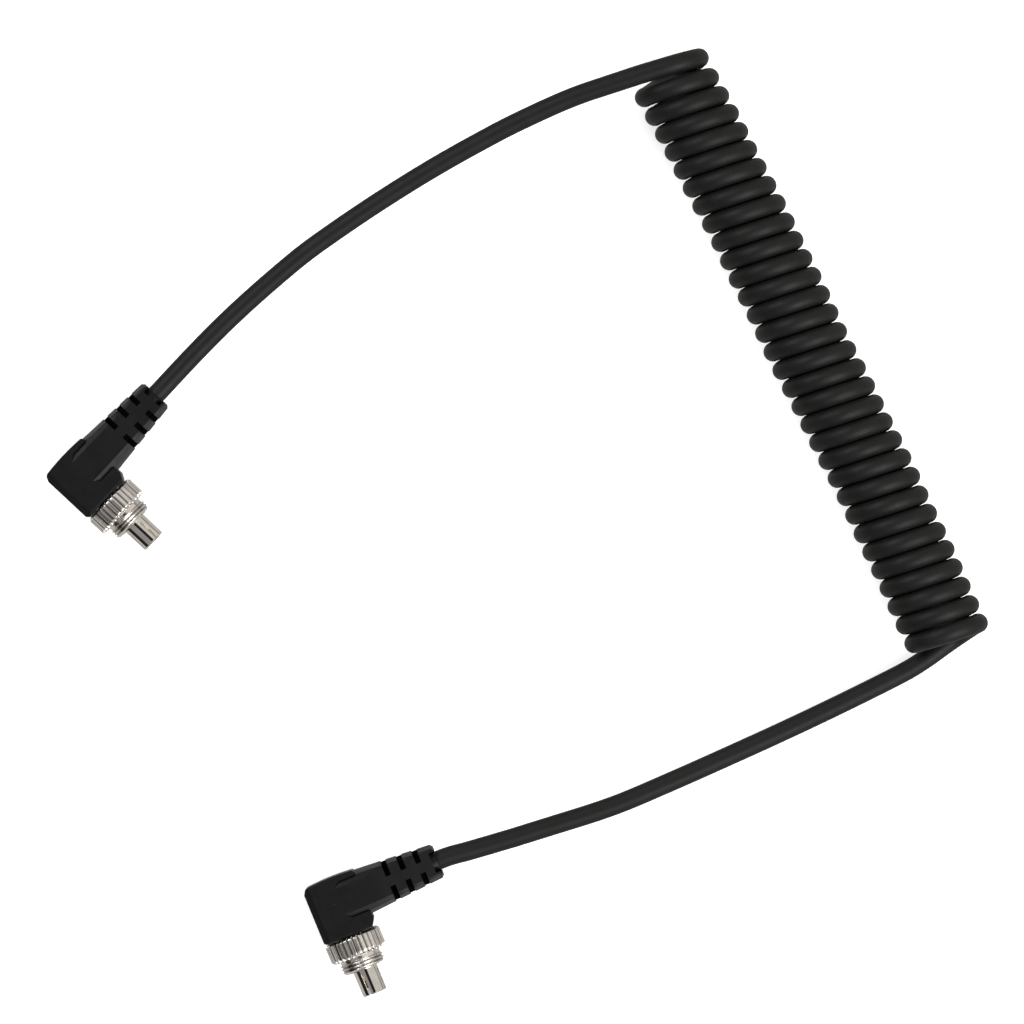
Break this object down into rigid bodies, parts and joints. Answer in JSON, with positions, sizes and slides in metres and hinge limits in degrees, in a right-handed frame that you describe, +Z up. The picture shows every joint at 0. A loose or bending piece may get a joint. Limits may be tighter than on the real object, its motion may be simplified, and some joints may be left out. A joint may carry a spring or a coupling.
{
  "type": "coiled flash sync cord",
  "caption": "Coiled coaxial camera flash cord with straight leads and right-angle moulded plugs, slotted contact barrels and knurled screw-lock rings.",
  "frame": {"origin": "centre of the bounding box on the resting plane", "axes": "+X along the coil from plug A's end to plug B's end, +Y from the plugs towards the coil, +Z up"},
  "size_m": [0.1018, 0.1092, 0.0121],
  "materials": {
    "jacket": "satin",
    "braid": "brushed",
    "insulation": "matte",
    "copper": "bright",
    "moulding": "semi-matt",
    "hard_core": "matte",
    "nickel": "nickel plate",
    "gilt": "gold flash",
    "spring_steel": "satin",
    "solder": "dull"
  },
  "bodies": {
    "plug_a": {"overmould_a": "moulding", "inner_mould_a": "hard_core", "contact_barrel_a": "nickel", "barrel_insulator_a": "insulation", "centre_pin_a": "gilt", "ground_lug_a": "gilt", "crimp_ferrule_a": "nickel", "pin_solder_a": "solder", "lug_solder_a": "solder", "jacket_lead_a": "jacket", "shield_lead_a": "braid", "dielectric_lead_a": "insulation", "conductor_lead_a": "copper"},
    "clip_a": {"retaining_clip_a": "spring_steel"},
    "ring_a": {"lock_ring_a": "nickel"},
    "plug_b": {"overmould_b": "moulding", "inner_mould_b": "hard_core", "contact_barrel_b": "nickel", "barrel_insulator_b": "insulation", "centre_pin_b": "gilt", "ground_lug_b": "gilt", "crimp_ferrule_b": "nickel", "pin_solder_b": "solder", "lug_solder_b": "solder", "jacket_lead_b": "jacket", "shield_lead_b": "braid", "dielectric_lead_b": "insulation", "conductor_lead_b": "copper"},
    "clip_b": {"retaining_clip_b": "spring_steel"},
    "ring_b": {"lock_ring_b": "nickel"},
    "coil_1": {"jacket_1": "jacket", "shield_1": "braid", "dielectric_1": "insulation", "conductor_1": "copper"},
    "coil_2": {"jacket_2": "jacket", "shield_2": "braid", "dielectric_2": "insulation", "conductor_2": "copper"},
    "coil_3": {"jacket_3": "jacket", "shield_3": "braid", "dielectric_3": "insulation", "conductor_3": "copper"},
    "coil_4": {"jacket_4": "jacket", "shield_4": "braid", "dielectric_4": "insulation", "conductor_4": "copper"},
    "coil_5": {"jacket_5": "jacket", "shield_5": "braid", "dielectric_5": "insulation", "conductor_5": "copper"},
    "coil_6": {"jacket_6": "jacket", "shield_6": "braid", "dielectric_6": "insulation", "conductor_6": "copper"}
  },
  "joints": [
    {"name": "coil_stretch", "type": "slide", "parent": "coil_1", "child": "coil_2", "axis": [1, 0, 0], "range_m": [0, 0.05], "stiffness_N_per_m": 60},
    {"name": "coil_stretch_2", "type": "slide", "parent": "coil_2", "child": "coil_3", "axis": [1, 0, 0], "range_m": [0, 0.05], "stiffness_N_per_m": 60},
    {"name": "coil_stretch_3", "type": "slide", "parent": "coil_3", "child": "coil_4", "axis": [1, 0, 0], "range_m": [0, 0.05], "stiffness_N_per_m": 60},
    {"name": "coil_stretch_4", "type": "slide", "parent": "coil_4", "child": "coil_5", "axis": [1, 0, 0], "range_m": [0, 0.05], "stiffness_N_per_m": 60},
    {"name": "coil_stretch_5", "type": "slide", "parent": "coil_5", "child": "coil_6", "axis": [1, 0, 0], "range_m": [0, 0.05], "stiffness_N_per_m": 60},
    {"name": "lead_a_flex", "type": "hinge", "parent": "coil_1", "child": "plug_a", "pos_m": [-0.04687, -0.00383, 0.00654], "axis": [0, 0, 1], "range_deg": [-45, 25], "stiffness_Nm_per_rad": 0.01},
    {"name": "lead_b_flex", "type": "hinge", "parent": "coil_6", "child": "plug_b", "pos_m": [0.04284, 0.01604, 0.00251], "axis": [0, 0, 1], "range_deg": [-25, 45], "stiffness_Nm_per_rad": 0.01},
    {"name": "ring_float_a", "type": "slide", "parent": "plug_a", "child": "clip_a", "axis": [0.9352, 0.3542, 0], "range_m": [0, 0.0006]},
    {"name": "ring_spin_a", "type": "hinge", "parent": "clip_a", "child": "ring_a", "pos_m": [-0.03221, -0.05007, 0.0041], "axis": [0.9352, 0.3542, 0], "continuous": true},
    {"name": "ring_float_b", "type": "slide", "parent": "plug_b", "child": "clip_b", "axis": [0.9978, -0.0663, 0], "range_m": [0, 0.0006]},
    {"name": "ring_spin_b", "type": "hinge", "parent": "clip_b", "child": "ring_b", "pos_m": [0.03708, -0.04447, 0.0041], "axis": [0.9978, -0.0663, 0], "continuous": true}
  ],
  "couplings": [
    {"joint": "coil_stretch_2", "follows": "coil_stretch", "ratio": 1},
    {"joint": "coil_stretch_3", "follows": "coil_stretch", "ratio": 1},
    {"joint": "coil_stretch_4", "follows": "coil_stretch", "ratio": 1},
    {"joint": "coil_stretch_5", "follows": "coil_stretch", "ratio": 1}
  ]
}
